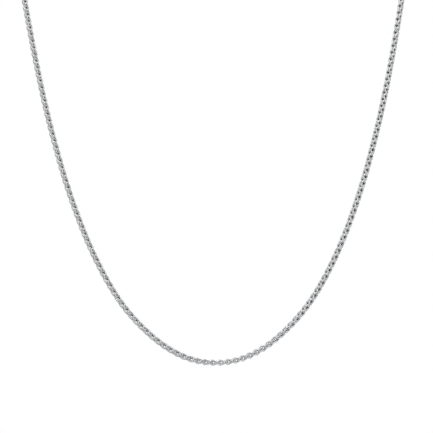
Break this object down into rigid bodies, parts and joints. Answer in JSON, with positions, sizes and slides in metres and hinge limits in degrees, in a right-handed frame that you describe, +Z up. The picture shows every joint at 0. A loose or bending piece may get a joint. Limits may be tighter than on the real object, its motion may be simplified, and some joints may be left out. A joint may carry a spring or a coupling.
{
  "type": "wheat chain necklace",
  "caption": "Fine silver wheat chain necklace in its hanging form, a closed loop round the neck with small end rings and a plain spring-ring clasp at the nape.",
  "frame": {"origin": "nape rest: the neck side of the clasp, at the back of the neck", "axes": "+Z up, front faces -Y, +X across the neck to the viewer's right"},
  "size_m": [0.1138, 0.109, 0.1349],
  "materials": {
    "chain_silver": "polished sterling silver wire",
    "fastening_silver": "polished sterling silver"
  },
  "bodies": {
    "root": {"chain": "chain_silver", "end_ring_left": "fastening_silver", "end_ring_right": "fastening_silver", "clasp": "fastening_silver"}
  },
  "joints": []
}
